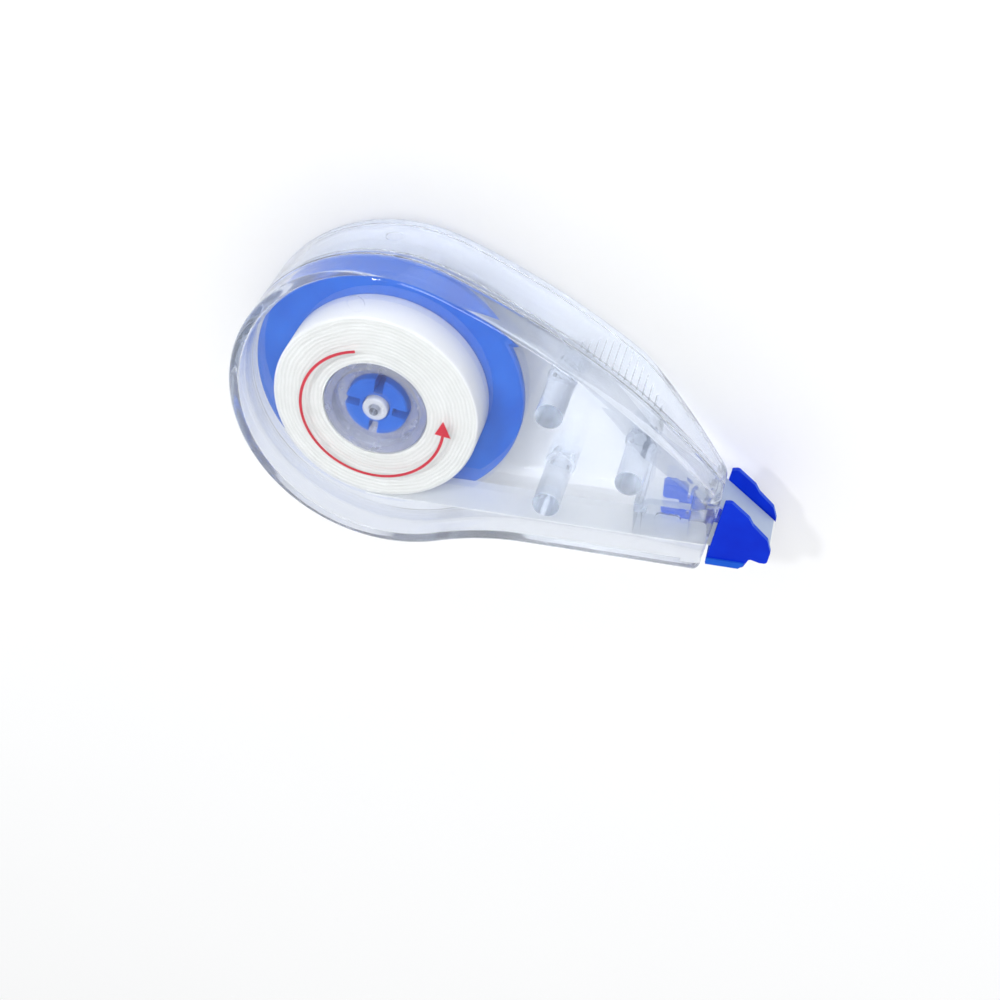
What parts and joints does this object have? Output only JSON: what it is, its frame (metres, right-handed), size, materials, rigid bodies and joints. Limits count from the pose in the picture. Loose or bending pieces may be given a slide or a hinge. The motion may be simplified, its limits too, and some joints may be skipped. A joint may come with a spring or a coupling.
{
  "type": "correction tape roller",
  "caption": "Teardrop clear-cased correction tape roller with coaxial supply and take-up reels and a blue-cheeked pressing tip.",
  "frame": {"origin": "on the common axis of the two reels, at the flat outer face of the rear shell", "axes": "+X from the round end to the tip, +Y across the case away from the tape run, +Z through the thickness from the rear shell to the front window"},
  "size_m": [0.0601, 0.035, 0.0138],
  "materials": {
    "clear_shell": "polished clear polystyrene with a faint cool tint",
    "frosted_clear": "natural translucent moulding, slightly hazy",
    "blue_moulding": "saturated blue, satin gloss moulding",
    "white_tape": "matt white correction film on its liner",
    "liner_paper": "smooth translucent release liner"
  },
  "bodies": {
    "case": {"front_shell": "clear_shell", "rear_shell": "clear_shell", "tape_run": "white_tape", "liner_return_run": "liner_paper", "tip_blade": "frosted_clear", "tip_guard": "blue_moulding"},
    "supply_assembly": {"supply_core": "frosted_clear", "tape_roll": "white_tape"},
    "takeup_assembly": {"takeup_reel": "blue_moulding", "liner_wrap": "liner_paper"}
  },
  "joints": [
    {"name": "supply_reel_spin", "type": "hinge", "parent": "case", "child": "supply_assembly", "pos_m": [0, 0, 0.0099], "axis": [0, 0, 1], "continuous": true},
    {"name": "takeup_reel_spin", "type": "hinge", "parent": "case", "child": "takeup_assembly", "pos_m": [0, 0, 0.0038], "axis": [0, 0, 1], "continuous": true}
  ],
  "couplings": [
    {"joint": "takeup_reel_spin", "follows": "supply_reel_spin", "ratio": 0.935}
  ]
}
